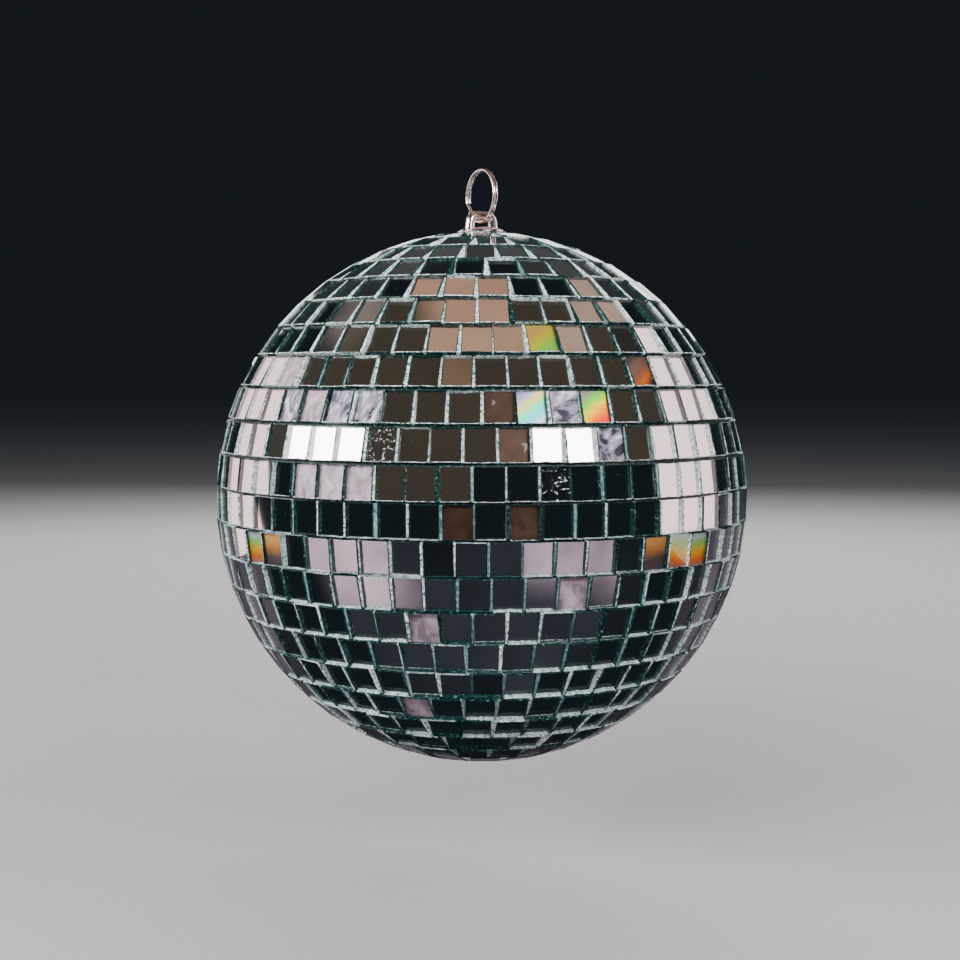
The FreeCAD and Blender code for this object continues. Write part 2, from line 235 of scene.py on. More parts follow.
def clear_glass():
    """Polished front of a tile. Lamps shine through it, so that the edges inside the glass are lit."""
    material, nodes, links, shader = new_material("tile_glass")
    shader.inputs["Base Color"].default_value = (0.95, 0.985, 0.975, 1)
    shader.inputs["Roughness"].default_value = 0.0
    shader.inputs["IOR"].default_value = 1.5
    shader.inputs["Transmission Weight"].default_value = 1.0
    path = nodes.new("ShaderNodeLightPath")
    clear = nodes.new("ShaderNodeBsdfTransparent")
    clear.inputs["Color"].default_value = (0.9, 0.96, 0.94, 1)
    mix = nodes.new("ShaderNodeMixShader")
    links.new(path.outputs["Is Shadow Ray"], mix.inputs["Fac"])
    links.new(shader.outputs["BSDF"], mix.inputs[1])
    links.new(clear.outputs["BSDF"], mix.inputs[2])
    links.new(mix.outputs["Shader"], nodes["Material Output"].inputs["Surface"])
    return material


def gritty(name, stops, scale, translucency):
    """Broken glass or set adhesive: grains of several tones, with sparkle and some light through it."""
    material, nodes, links, shader = new_material(name)
    grain = object_noise(nodes, links, scale, detail=5)
    grain.inputs["Roughness"].default_value = 0.65
    colour = ramp(nodes, links, grain.outputs["Fac"], stops)
    links.new(colour, shader.inputs["Base Color"])
    shader.inputs["Roughness"].default_value = 0.22
    shader.inputs["IOR"].default_value = 1.5
    bump(nodes, links, grain.outputs["Fac"], shader, strength=1.0, distance=0.3 * MM)
    through = nodes.new("ShaderNodeBsdfTranslucent")
    links.new(colour, through.inputs["Color"])
    mix = nodes.new("ShaderNodeMixShader")
    mix.inputs["Fac"].default_value = translucency
    links.new(shader.outputs["BSDF"], mix.inputs[1])
    links.new(through.outputs["BSDF"], mix.inputs[2])
    links.new(mix.outputs["Shader"], nodes["Material Output"].inputs["Surface"])
    return material


def frosted_edge():
    """The chipped front edge of a tile, and adhesive full of glass dust."""
    return gritty("frosted_glass", [
        (0.38, (0.03, 0.08, 0.085)), (0.46, (0.30, 0.46, 0.47)),
        (0.53, (0.86, 0.95, 0.96)), (0.60, (1.0, 1.0, 1.0)),
    ], scale=1050, translucency=0.25)


def cut_side():
    """The snapped side of a tile: bottle green in the depth, with bright fractures."""
    return gritty("snapped_glass", [
        (0.45, (0.002, 0.013, 0.014)), (0.60, (0.014, 0.085, 0.080)), (0.70, (0.42, 0.58, 0.57)),
    ], scale=1100, translucency=0.3)


def set_adhesive():
    """Clear adhesive between the tiles, with the green of the glass in it."""
    return gritty("set_adhesive", [
        (0.36, (0.05, 0.16, 0.16)), (0.56, (0.30, 0.50, 0.51)), (0.70, (0.85, 0.95, 0.95)),
    ], scale=800, translucency=0.5)


def bare_rim():
    """Back of the glass outside the silvering: dark paint with crumbs of it missing."""
    material, nodes, links, shader = new_material("bare_rim")
    crumbs = object_noise(nodes, links, scale=1900, detail=3)
    colour = ramp(nodes, links, crumbs.outputs["Fac"], [
        (0.5, (0.006, 0.022, 0.021)), (0.66, (0.30, 0.40, 0.38)),
    ])
    links.new(colour, shader.inputs["Base Color"])
    shader.inputs["Roughness"].default_value = 0.6
    bump(nodes, links, crumbs.outputs["Fac"], shader, strength=0.4, distance=0.1 * MM)
    return material


def grey(value):
    return (value, value, value)


def silvering(name, stops, scale, stretch, distortion, rough, detail=4.0, metallic=1.0):
    """Silvered back whose colour (stops) and roughness (rough) follow one pattern."""
    material, nodes, links, shader = new_material(name)
    place = nodes.new("ShaderNodeTexCoord")
    turned = nodes.new("ShaderNodeMapping")
    turned.inputs["Rotation"].default_value = (0.5, 0.65, 0.4)
    turned.inputs["Scale"].default_value = stretch
    pattern = nodes.new("ShaderNodeTexNoise")
    pattern.inputs["Scale"].default_value = scale
    pattern.inputs["Detail"].default_value = detail
    pattern.inputs["Distortion"].default_value = distortion
    links.new(place.outputs["Object"], turned.inputs["Vector"])
    links.new(turned.outputs["Vector"], pattern.inputs["Vector"])
    links.new(ramp(nodes, links, pattern.outputs["Fac"], stops), shader.inputs["Base Color"])
    links.new(ramp(nodes, links, pattern.outputs["Fac"], rough), shader.inputs["Roughness"])
    shader.inputs["Metallic"].default_value = metallic
    bump(nodes, links, pattern.outputs["Fac"], shader, strength=0.15, distance=0.1 * MM)
    return material


def silver_clean():
    """Sound silvering, with pinholes and a faint haze."""
    material, nodes, links, shader = new_material("silver_clean")
    specks = object_noise(nodes, links, scale=520, detail=0, kind="ShaderNodeTexVoronoi")
    colour = ramp(nodes, links, specks.outputs["Distance"], [
        (0.03, (0.95, 0.93, 0.90)), (0.05, (0.86, 0.88, 0.87)),
    ])
    links.new(colour, shader.inputs["Base Color"])
    rough = ramp(nodes, links, specks.outputs["Distance"], [(0.03, grey(0.4)), (0.05, grey(0.015))])
    links.new(rough, shader.inputs["Roughness"])
    shader.inputs["Metallic"].default_value = 1.0
    return material


def silver_flecked():
    """Silvering with scratches and flecks lifted off."""
    return silvering("silver_flecked", [
        (0.62, (0.80, 0.82, 0.86)), (0.66, (0.98, 0.96, 0.95)),
    ], scale=330, stretch=(1.0, 2.6, 1.6), distortion=2.2, detail=6.0,
        rough=[(0.62, grey(0.03)), (0.66, grey(0.6))])


def silver_streaked():
    """Silvering wiped while wet: lavender and white swooshes."""
    return silvering("silver_streaked", [
        (0.34, (0.05, 0.045, 0.07)), (0.44, (0.17, 0.145, 0.20)), (0.56, (0.34, 0.30, 0.38)),
        (0.64, (0.88, 0.85, 0.90)),
    ], scale=105, stretch=(1.0, 3.8, 1.4), distortion=1.1,
        rough=[(0.36, grey(0.2)), (0.6, grey(0.5))])


def silver_milky():
    """Silvering gone cloudy, partly its own haze and partly painted reflection: the mauve tint stands in
    for the mauve light these tiles mirror.
    """
    return silvering("silver_milky", [
        (0.36, (0.20, 0.145, 0.18)), (0.64, (0.50, 0.39, 0.46)),
    ], scale=170, stretch=(1.0, 1.6, 1.0), distortion=0.8, metallic=0.45,
        rough=[(0.35, grey(0.36)), (0.65, grey(0.5))])


def silver_tarnished():
    """Silvering gone brown."""
    return silvering("silver_tarnished", [
        (0.36, (0.042, 0.021, 0.015)), (0.66, (0.070, 0.035, 0.025)), (0.74, (0.42, 0.31, 0.28)),
    ], scale=220, stretch=(1.0, 1.3, 1.0), distortion=0.6, metallic=0.7,
        rough=[(0.4, grey(0.4)), (0.7, grey(0.55))])


def painted_glint_bands(name, bands, direction, start):
    """Painted glint: bands of colour painted across a tile's back, one period along the direction, in
    place of the light that the glass splits.
    """
    material, nodes, links, shader = new_material(name)
    place = nodes.new("ShaderNodeTexCoord")
    along = nodes.new("ShaderNodeVectorMath")
    along.operation = "DOT_PRODUCT"
    along.inputs[1].default_value = Vector(direction).normalized() / RAINBOW_PERIOD
    links.new(place.outputs["Object"], along.inputs[0])
    waver = object_noise(nodes, links, scale=90, detail=3)
    wavering = nodes.new("ShaderNodeMath")
    wavering.operation = "MULTIPLY_ADD"
    wavering.inputs[1].default_value = RAINBOW_WAVER
    links.new(waver.outputs["Fac"], wavering.inputs[0])
    links.new(along.outputs["Value"], wavering.inputs[2])
    shifted = nodes.new("ShaderNodeMath")
    shifted.operation = "SUBTRACT"
    shifted.inputs[1].default_value = start / RAINBOW_PERIOD + RAINBOW_WAVER / 2
    links.new(wavering.outputs["Value"], shifted.inputs[0])
    share = nodes.new("ShaderNodeMath")
    share.operation = "FRACT"
    links.new(shifted.outputs["Value"], share.inputs[0])
    stops = [(index / (len(bands) - 1), colour) for index, colour in enumerate(bands)]
    links.new(ramp(nodes, links, share.outputs["Value"], stops), shader.inputs["Base Color"])
    shader.inputs["Metallic"].default_value = 1.0
    shader.inputs["Roughness"].default_value = 0.4
    return material


def nickel_material():
    material, nodes, links, shader = new_material("bright_nickel")
    shader.inputs["Metallic"].default_value = 1.0
    tone = object_noise(nodes, links, scale=300, detail=3)
    colour = ramp(nodes, links, tone.outputs["Fac"], [
        (0.35, (0.84, 0.74, 0.70)), (0.65, (0.94, 0.87, 0.84)),
    ])
    links.new(colour, shader.inputs["Base Color"])
    wear = object_noise(nodes, links, scale=900, detail=5)
    rough = map_range(nodes, links, wear.outputs["Fac"], low=0.08, high=0.34)
    links.new(rough, shader.inputs["Roughness"])
    bump(nodes, links, wear.outputs["Fac"], shader, strength=0.18, distance=0.06 * MM)
    return material


def zinc_material():
    material, nodes, links, shader = new_material("zinc_plate")
    shader.inputs["Metallic"].default_value = 1.0
    grain = object_noise(nodes, links, scale=700, detail=4)
    colour = ramp(nodes, links, grain.outputs["Fac"], [
        (0.35, (0.46, 0.47, 0.48)), (0.65, (0.66, 0.67, 0.66)),
    ])
    links.new(colour, shader.inputs["Base Color"])
    rough = map_range(nodes, links, grain.outputs["Fac"], low=0.25, high=0.45)
    links.new(rough, shader.inputs["Roughness"])
    bump(nodes, links, grain.outputs["Fac"], shader, strength=0.2, distance=0.05 * MM)
    return material


def core_material():
    material, nodes, links, shader = new_material("moulded_plastic")
    flow = object_noise(nodes, links, scale=60, detail=4)
    colour = ramp(nodes, links, flow.outputs["Fac"], [
        (0.35, (0.60, 0.60, 0.57)), (0.65, (0.72, 0.72, 0.69)),
    ])
    links.new(colour, shader.inputs["Base Color"])
    rough = map_range(nodes, links, flow.outputs["Fac"], low=0.4, high=0.6)
    links.new(rough, shader.inputs["Roughness"])
    bump(nodes, links, flow.outputs["Fac"], shader, strength=0.15, distance=0.3 * MM)
    return material


# --- tiles ---------------------------------------------------------------------------------------

def hump(share):
    """0 at both ends and 1 in the middle."""
    return 4 * share * (1 - share)


def clamped_gauss(rng, spread, limit):
    return max(-limit, min(limit, rng.gauss(0, spread)))


class Tile:
    """Where one CAD tile lies: the middle of its face, its own directions and its outline."""

    def __init__(self, corners, outward, outline):
        self.centre = sum(corners, Vector()) / len(corners)
        self.outward = outward
        self.east = Vector((0, 0, 1)).cross(outward).normalized()
        self.north = self.outward.cross(self.east)
        across = [(corner - self.centre).dot(self.east) for corner in corners]
        along = [(corner - self.centre).dot(self.north) for corner in corners]
        self.width = max(across) - min(across)
        self.height = max(along) - min(along)
        self.outline = [((point - self.centre).dot(self.east), (point - self.centre).dot(self.north))
                        for point in outline]
        from_front = math.atan2(self.centre.y, self.centre.x) - FRONT_ANGLE
        self.angle = (from_front + math.pi) % (2 * math.pi) - math.pi

    def point(self, across, along, rise):
        return self.centre + self.east * across + self.north * along + self.outward * rise


def boundary(triangles, points):
    """The outline of a patch of triangles, in order, as points."""
    edges = set()
    for triangle in triangles:
        for a, b in zip(triangle, triangle[1:] + triangle[:1]):
            if (b, a) in edges:
                edges.remove((b, a))
            else:
                edges.add((a, b))
    following = dict(sorted(edges))
    first = next(iter(following))
    loop = [first]
    while following[loop[-1]] != first:
        loop.append(following[loop[-1]])
    return [points[key] for key in loop]


def cad_tiles(node):
    """The tiles of a packed row, in order round the ball from the far side, read from their faces."""
    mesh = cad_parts[node].data
    mesh.calc_loop_triangles()
    points = {}
    patches = []
    for triangle in mesh.loop_triangles:
        corners = [mesh.vertices[index].co for index in triangle.vertices]
        keys = [tuple(round(value, 6) for value in corner) for corner in corners]
        normal = (corners[1] - corners[0]).cross(corners[2] - corners[0]).normalized()
        if normal.dot((sum(corners, Vector()) / 3 - CENTRE).normalized()) < FACES_OUTWARDS:
            continue
        points.update(zip(keys, corners))
        joined = [patch for patch in patches if patch["keys"].intersection(keys)]
        patches = [patch for patch in patches if patch not in joined]
        whole = {"keys": set(keys), "triangles": [keys], "normal": normal}
        for patch in joined:
            whole["keys"] |= patch["keys"]
            whole["triangles"] += patch["triangles"]
        patches.append(whole)
    tiles = [Tile([points[key] for key in sorted(patch["keys"])], patch["normal"],
                  boundary(patch["triangles"], points)) for patch in patches]
    return sorted(tiles, key=lambda tile: tile.angle)


def tile_thickness(node):
    """Face to back of a tile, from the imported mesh."""
    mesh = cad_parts[node].data
    first = cad_tiles(node)[0]
    half_width = TILE_MARGIN * first.width / 2
    half_height = TILE_MARGIN * first.height / 2
    depths = []
    for vertex in mesh.vertices:
        offset = vertex.co - first.centre
        if abs(offset.dot(first.east)) < half_width and abs(offset.dot(first.north)) < half_height:
            depths.append(-offset.dot(first.outward))
    return max(depth for depth in depths if depth < first.width)


def snapped_outline(rng, width, height):
    """A snapped rectangle inside width by height: rounded corners, wavering sides and small chips."""
    half_x = width / 2
    half_y = height / 2
    radii = [rng.uniform(*CORNER_RADII) for _ in range(4)]
    signs = ((1, 1), (-1, 1), (-1, -1), (1, -1))
    points = []
    for corner, (sx, sy) in enumerate(signs):
        radius = radii[corner]
        middle = (sx * (half_x - radius), sy * (half_y - radius))
        start = math.radians(90 * corner)
        for step in range(CORNER_POINTS):
            angle = start + math.radians(90) * step / (CORNER_POINTS - 1)
            points.append((middle[0] + radius * math.cos(angle), middle[1] + radius * math.sin(angle)))
        nx, ny = signs[(corner + 1) % 4]
        next_radius = radii[(corner + 1) % 4]
        next_angle = start + math.radians(90)
        end = (nx * (half_x - next_radius) + next_radius * math.cos(next_angle),
               ny * (half_y - next_radius) + next_radius * math.sin(next_angle))
        begin = points[-1]
        inward = (-math.cos(next_angle), -math.sin(next_angle))
        bow = rng.uniform(0, 2 * EDGE_WAVER)
        chip_at = rng.uniform(*CHIP_PLACE) if rng.random() < CHIP_CHANCE else None
        chip_depth = rng.uniform(*CHIP_DEPTH)
        for step in range(1, SIDE_POINTS + 1):
            u = step / (SIDE_POINTS + 1)
            depth = bow * hump(u) + rng.uniform(0, EDGE_WAVER)
            if chip_at is not None:
                depth += chip_depth * max(0.0, 1 - abs(u - chip_at) * (SIDE_POINTS + 1) / CHIP_REACH)
            points.append((begin[0] + (end[0] - begin[0]) * u + inward[0] * depth,
                           begin[1] + (end[1] - begin[1]) * u + inward[1] * depth))
    return points


def shrunk(outline, amounts):
    """The outline moved inwards at each point by that point's amount."""
    count = len(outline)
    result = []
    for index, (x, y) in enumerate(outline):
        before = outline[index - 1]
        after = outline[(index + 1) % count]
        run = (after[0] - before[0], after[1] - before[1])
        length = math.hypot(*run)
        result.append((x - run[1] / length * amounts[index], y + run[0] / length * amounts[index]))
    return result


def add_slab(builder, tile, outline, thickness, kind, rng):
    """One glass slab: front face, chipped arris, snapped sides, bare rim and silvered back.

    Kind is the place in the material list of the back: its silvering, or bands of painted glint.
    """
    vertices, faces, materials = builder
    tilt = LARGE_TILT if rng.random() < LARGE_TILT_CHANCE else SMALL_TILT
    slope_x = math.radians(clamped_gauss(rng, tilt, TILT_LIMIT))
    slope_y = math.radians(clamped_gauss(rng, tilt, TILT_LIMIT))
    sink = abs(slope_x) * tile.width / 2 + abs(slope_y) * tile.height / 2
    count = len(outline)

    def placed(x, y, z):
        return tile.point(x, y, z + x * slope_x + y * slope_y - sink - FACE_SINK)

    first = len(vertices)
    lower_edge = min(y for x, y in outline) + LOWER_EDGE_REACH
    lower = [y < lower_edge for x, y in outline]
    arris = [(LOWER_ARRIS if low else ARRIS) * rng.uniform(*ARRIS_VARIES) for low in lower]
    rim = [SILVER_INSET * rng.uniform(*RIM_VARIES) for _ in range(count)]
    back = -thickness + 2 * sink
    rings = (
        (shrunk(outline, arris), [0.0] * count),
        (outline, [-ARRIS_DEPTH * width for width in arris]),
        (shrunk(outline, [rng.uniform(*BACK_RETREAT) for _ in range(count)]), [back] * count),
        (shrunk(outline, rim), [back] * count),
    )
    for points, rises in rings:
        vertices.extend(placed(x, y, rise) for (x, y), rise in zip(points, rises))
    starts = [first + ring * count for ring in range(len(rings))]
    faces.append([starts[0] + i for i in range(count)])
    materials.append(GLASS)
    # Painted glints and painted shade: which edges get white frosting follows where the lamps would glint
    # and where the shaded strip lies.
    below = tile.centre.z < CENTRE.z
    shaded = below and SHADED_ANGLES[0] < tile.angle < SHADED_ANGLES[1]
    lower_arris = FROSTED if rng.random() < LOWER_ARRIS_GLINT_CHANCE[shaded] else SNAPPED
    chances = [OTHER_SIDE_GLINT_CHANCE[abs(tile.angle) > EDGE_ON_ANGLE]] * 4
    chances[BOTTOM if below else TOP] = POLE_SIDE_GLINT_CHANCE[below + shaded]
    sides = [FROSTED if rng.random() < chance else SNAPPED for chance in chances]
    for i in range(count):
        j = (i + 1) % count
        run = (outline[j][0] - outline[i][0], outline[j][1] - outline[i][1])
        if abs(run[0]) > abs(run[1]):
            side = TOP if run[0] < 0 else BOTTOM
        else:
            side = LEFT if run[1] < 0 else RIGHT
        kinds = (lower_arris if lower[i] and lower[j] else SNAPPED, sides[side], BARE_RIM)
        for band, (upper, under) in enumerate(zip(starts, starts[1:])):
            faces.append([upper + j, upper + i, under + i, under + j])
            materials.append(kinds[band])
    faces.append([starts[-1] + i for i in reversed(range(count))])
    materials.append(kind)


def mesh_object(name, vertices, faces, slots, indices):
    """A new piece; indices say which of the slots' materials each face has."""
    mesh = bpy.data.meshes.new(name)
    mesh.from_pydata(vertices, [], faces)
    for material in slots:
        mesh.materials.append(material)
    mesh.polygons.foreach_set("material_index", indices)
    mesh.update()
    piece = bpy.data.objects.new(name, mesh)
    bpy.context.scene.collection.objects.link(piece)
    return piece


def loosened(tiles, rng):
    """Moves each tile of a row a little from its even place, as a hand would have set it."""
    for tile in tiles:
        slide = clamped_gauss(rng, SHIFT_SPREADS[0], 1)
        lift = clamped_gauss(rng, SHIFT_SPREADS[1], 1)
        tile.centre = tile.point(slide * SHIFT_ALONG_ROW, lift * SHIFT_ACROSS_ROW, 0)
        turn = math.radians(clamped_gauss(rng, TURN, 2 * TURN))
        east = tile.east * math.cos(turn) + tile.north * math.sin(turn)
        tile.north = tile.north * math.cos(turn) - tile.east * math.sin(turn)
        tile.east = east
        tile.width *= rng.uniform(*WIDTH_VARIES)
        tile.height *= rng.uniform(*HEIGHT_VARIES)
    return tiles


def kind_of(row, place, rng):
    """Which back a tile has: its silvering, or bands of painted glint. The lot is drawn for every tile,
    and not used for those of the front.
    """
    odd = rng.choices(ODD_KINDS, ODD_WEIGHTS)[0]
    by_lot = odd if rng.random() < ODD_CHANCE else CLEAN
    if abs(place) <= FRONT_PLACES:
        return FRONT_ODD.get(row, {}).get(place, CLEAN)
    return by_lot


def replace_tiles(node, slots, builder):
    """Puts the finished slabs in the place of a CAD node."""
    vertices, faces, materials = builder
    piece = mesh_object(node + "_glass", vertices, faces, slots, materials)
    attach(piece, "ball")
    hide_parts(node)


def build_tile_row(node, slots, bead_slots, thickness):
    row = node.replace("tile_row_", "")
    rng = random.Random(node)
    tiles = loosened(cad_tiles(node), rng)
    foremost = min(range(len(tiles)), key=lambda index: abs(tiles[index].angle - FOREMOST_BIAS))
    builder = ([], [], [])
    for index, tile in enumerate(tiles):
        kind = kind_of(row, index - foremost, rng)
        outline = snapped_outline(rng, tile.width, tile.height)
        add_slab(builder, tile, outline, thickness, kind, rng)
    replace_tiles(node, slots, builder)
    build_beads(node, tiles, bead_slots, thickness)


def build_pole_tiles(node, slots, thickness):
    rng = random.Random(node)
    builder = ([], [], [])
    for tile in cad_tiles(node):
        add_slab(builder, tile, tile.outline, thickness, CLEAN, rng)
    replace_tiles(node, slots, builder)


# --- adhesive beads ------------------------------------------------------------------------------

def add_bead(builder, left, right, thickness, rng):
    """Adhesive squeezed up between two neighbouring tiles of a row."""
    vertices, faces = builder
    first = len(vertices)
    top = rng.uniform(*BEAD_TOP)
    outward = (left.outward + right.outward).normalized()
    for station in range(BEAD_STATIONS):
        v = (station / (BEAD_STATIONS - 1) - 0.5) * BEAD_LENGTH
        start = left.point(left.width / 2, v * left.height, 0)
        end = right.point(-right.width / 2, v * right.height, 0)
        low = top + rng.uniform(-BEAD_WAVE, BEAD_WAVE)
        for column in range(BEAD_COLUMNS):
            u = column / (BEAD_COLUMNS - 1)
            drop = low + BEAD_HOLLOW * hump(u) + rng.uniform(*BEAD_GRAIN)
            vertices.append(start.lerp(end, BEAD_SLIT + (1 - 2 * BEAD_SLIT) * u) - outward * drop)
        vertices.append(start.lerp(end, 1 - BEAD_SLIT) - outward * thickness)
        vertices.append(start.lerp(end, BEAD_SLIT) - outward * thickness)
    ring = BEAD_COLUMNS + 2
    for station in range(BEAD_STATIONS - 1):
        for i in range(ring):
            j = (i + 1) % ring
            a = first + station * ring
            b = a + ring
            faces.append([a + i, a + j, b + j, b + i])
    faces.append([first + i for i in reversed(range(ring))])
    faces.append([first + (BEAD_STATIONS - 1) * ring + i for i in range(ring)])


def build_beads(node, tiles, slots, thickness):
    """The beads of one row: dusty white, clear or full of green glass; mostly dusty in the upper rows."""
    rng = random.Random(node + " beads")
    height = (tiles[0].centre.z - CENTRE.z) / SHELL_RADIUS
    shares = BEAD_SHARES_UPPER if height > UPPER_ROWS else BEAD_SHARES_BELOW
    vertices, faces, indices = [], [], []
    for index, tile in enumerate(tiles):
        add_bead((vertices, faces), tile, tiles[(index + 1) % len(tiles)], thickness, rng)
        kind = rng.choices(range(len(slots)), shares)[0]
        indices.extend([kind] * (len(faces) - len(indices)))
    name = node.replace("tile_row", "joint_adhesive")
    piece = mesh_object(name, vertices, faces, slots, indices)
    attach(piece, "ball")


# --- stage ---------------------------------------------------------------------------------------

PINKISH = (1.0, 0.68, 0.71)
WHITE = (1.0, 0.98, 0.97)
MAUVE = (1.0, 0.80, 0.92)

# The lamps, by add_panel()'s arguments: name, azimuth, elevation, distance, width, height, lean,
# colour, brightness, and whether the mirrors show it.
PANELS = (
    ("key_left", -69, 21, 1.5, 0.84, 0.36, 0, WHITE, 26.0, True),
    ("key_right", 32, 23, 1.5, 0.60, 0.30, 0, WHITE, 26.0, True),
    ("soft_right", 104, 13.5, 1.4, 0.86, 1.52, -38, PINKISH, 2.2, True),
    ("soft_left", -121, 9, 1.4, 0.80, 1.02, 14, PINKISH, 2.2, True),
    ("back_left", -167, 12, 1.5, 0.50, 0.34, 0, WHITE, 2.5, True),
    ("back_right", 170, 14, 1.5, 0.50, 0.34, 0, WHITE, 2.5, True),
    ("fill_front", -25, 28, 1.6, 1.20, 0.80, 0, WHITE, 15.0, False),
    ("fill_right", 75, 35, 1.6, 0.80, 0.80, 0, WHITE, 9.0, False),
    ("fill_back", 175, 35, 1.6, 1.40, 0.80, 0, WHITE, 9.0, False),
    ("fill_low_left", -68, -42, 1.6, 0.80, 0.70, 0, MAUVE, 9.0, False),
    ("fill_low_right", 62, -42, 1.6, 0.80, 0.70, 0, MAUVE, 6.0, False),
)

# Soft patches of the studio round the ball, as it is seen in the mirrors: azimuth, elevation, half
# width, half height and softness, all in degrees, then cloudiness and radiance.
PATCHES = (
    (0, 47, 112, 34, 7, 0.5, (0.055, 0.037, 0.022)),
    (-24, 8, 20, 5, 3, 0.5, (0.055, 0.037, 0.022)),
    (-14, 52, 8, 7, 2, 0.2, (0.17, 0.090, 0.052)),
    (-61, -23, 23, 11, 4, 1.7, (0.74, 0.51, 0.62)),
    (42, -23, 22, 11, 4, 1.7, (0.70, 0.49, 0.60)),
    (0, -50, 75, 30, 10, 1.2, (0.024, 0.022, 0.030)),
    (180, -18, 60, 12, 10, 1.0, (0.12, 0.09, 0.11)),
    (180, 38, 40, 13, 8, 0.6, (0.030, 0.029, 0.033)),
)

# Patches on the ceiling: how far in front of the ball and how far to the right, for each unit of
# height, then half of each extent in the same order, softness, cloudiness and radiance.
CEILING = (
    (0.06, -0.05, 0.42, 0.25, 0.04, 0.3, (0.53, 0.285, 0.190)),
    (-0.27, 0.60, 0.47, 0.13, 0.05, 0.6, (0.52, 0.33, 0.26)),
    (-0.42, -0.80, 0.22, 0.17, 0.10, 1.0, (0.36, 0.260, 0.240)),
    (-1.10, 0.0, 0.45, 0.50, 0.20, 1.0, (0.042, 0.034, 0.031)),
)
DARK = (0.0090, 0.0130, 0.0165)     # radiance of the rest of the studio
CLOUD_SCALE = 8.0
CLOUD_DETAIL = 4.0
CLOUD_ROUGHNESS = 0.65
LEAST_RISE = 0.001          # keeps places on the ceiling finite for directions at or below the horizon

FLOOR_DROP = 0.140          # floor under the ball's middle
FLOOR_SIZE = 60.0
FLOOR_COLOUR = (0.30, 0.30, 0.297)


def camera_axes():
    azimuth = math.radians(CAMERA_AZIMUTH)
    toward = Vector((math.sin(azimuth), -math.cos(azimuth), 0))
    right = Vector((math.cos(azimuth), math.sin(azimuth), 0))
    return toward, right


def around(azimuth, elevation):
    """Direction from the ball, with azimuth 0 towards the camera and growing to the camera's right."""
    toward, right = camera_axes()
    turn = math.radians(azimuth)
    rise = math.radians(elevation)
    level = toward * math.cos(turn) + right * math.sin(turn)
    return level * math.cos(rise) + Vector((0, 0, 1)) * math.sin(rise)


def build_camera():
    right = camera_axes()[1]
    position = CENTRE + around(0, CAMERA_ELEVATION) * CAMERA_DISTANCE
    target = CENTRE + Vector((0, 0, AIM_ABOVE_CENTRE)) - right * AIM_LEFT_OF_CENTRE
    data = bpy.data.cameras.new("camera")
    data.lens = CAMERA_LENS
    data.sensor_width = CAMERA_SENSOR
    data.clip_start = CAMERA_CLIP_START
    camera = bpy.data.objects.new("camera", data)
    camera.location = position
    camera.rotation_euler = (target - position).to_track_quat("-Z", "Y").to_euler()
    bpy.context.scene.collection.objects.link(camera)
    bpy.context.scene.camera = camera


def add_panel(name, azimuth, elevation, distance, width, height, lean, colour, brightness, mirrored):
    """A soft light panel that faces the ball; brightness is its radiance. The mirrors show only some.

    The lean turns its top towards lower azimuths, in degrees.
    """
    data = bpy.data.lights.new(name, "AREA")
    data.shape = "RECTANGLE"
    data.size = width
    data.size_y = height
    data.color = colour
    data.energy = brightness * math.pi * width * height
    panel = bpy.data.objects.new(name, data)
    panel.location = CENTRE + around(azimuth, elevation) * distance
    upright = (CENTRE - panel.location).to_track_quat("-Z", "Y")
    panel.rotation_euler = (upright @ Quaternion((0, 0, 1), math.radians(lean))).to_euler()
    panel.visible_camera = False
    panel.visible_glossy = mirrored
    panel.visible_transmission = mirrored
    bpy.context.scene.collection.objects.link(panel)


class NodeMath:
    """Works out sums and products of node sockets and numbers in one node tree."""

    def __init__(self, tree):
        self.nodes = tree.nodes
        self.links = tree.links

    def connect(self, value, socket):
        if isinstance(value, bpy.types.NodeSocket):
            self.links.new(value, socket)
        else:
            socket.default_value = value

    def math(self, operation, *values):
        node = self.nodes.new("ShaderNodeMath")
        node.operation = operation
        for value, socket in zip(values, node.inputs):
            self.connect(value, socket)
        return node.outputs[0]

    def scaled(self, colour, factor):
        node = self.nodes.new("ShaderNodeVectorMath")
        node.operation = "SCALE"
        self.connect(colour, node.inputs[0])
        self.connect(factor, node.inputs["Scale"])
        return node.outputs[0]

    def added(self, first, second):
        node = self.nodes.new("ShaderNodeVectorMath")
        node.operation = "ADD"
        self.connect(first, node.inputs[0])
        self.connect(second, node.inputs[1])
        return node.outputs[0]

    def edge(self, distance, half, softness):
        """1 inside half, falling smoothly to 0 over the softness."""
        node = self.nodes.new("ShaderNodeMapRange")
        node.interpolation_type = "SMOOTHSTEP"
        self.connect(distance, node.inputs["Value"])
        node.inputs["From Min"].default_value = half + softness / 2
        node.inputs["From Max"].default_value = half - softness / 2
        return node.outputs["Result"]


def view_direction(tree):
    """The direction looked in, with X towards the camera, Y to the camera's right and Z up."""
    place = tree.nodes.new("ShaderNodeTexCoord")
    turned = tree.nodes.new("ShaderNodeVectorRotate")
    turned.rotation_type = "Z_AXIS"
    turned.inputs["Angle"].default_value = -FRONT_ANGLE
    tree.links.new(place.outputs["Generated"], turned.inputs["Vector"])
    return turned.outputs["Vector"]


def clouds(tree, direction):
    noise = tree.nodes.new("ShaderNodeTexNoise")
    noise.inputs["Scale"].default_value = CLOUD_SCALE
    noise.inputs["Detail"].default_value = CLOUD_DETAIL
    noise.inputs["Roughness"].default_value = CLOUD_ROUGHNESS
    tree.links.new(direction, noise.inputs["Vector"])
    return noise.outputs["Fac"]


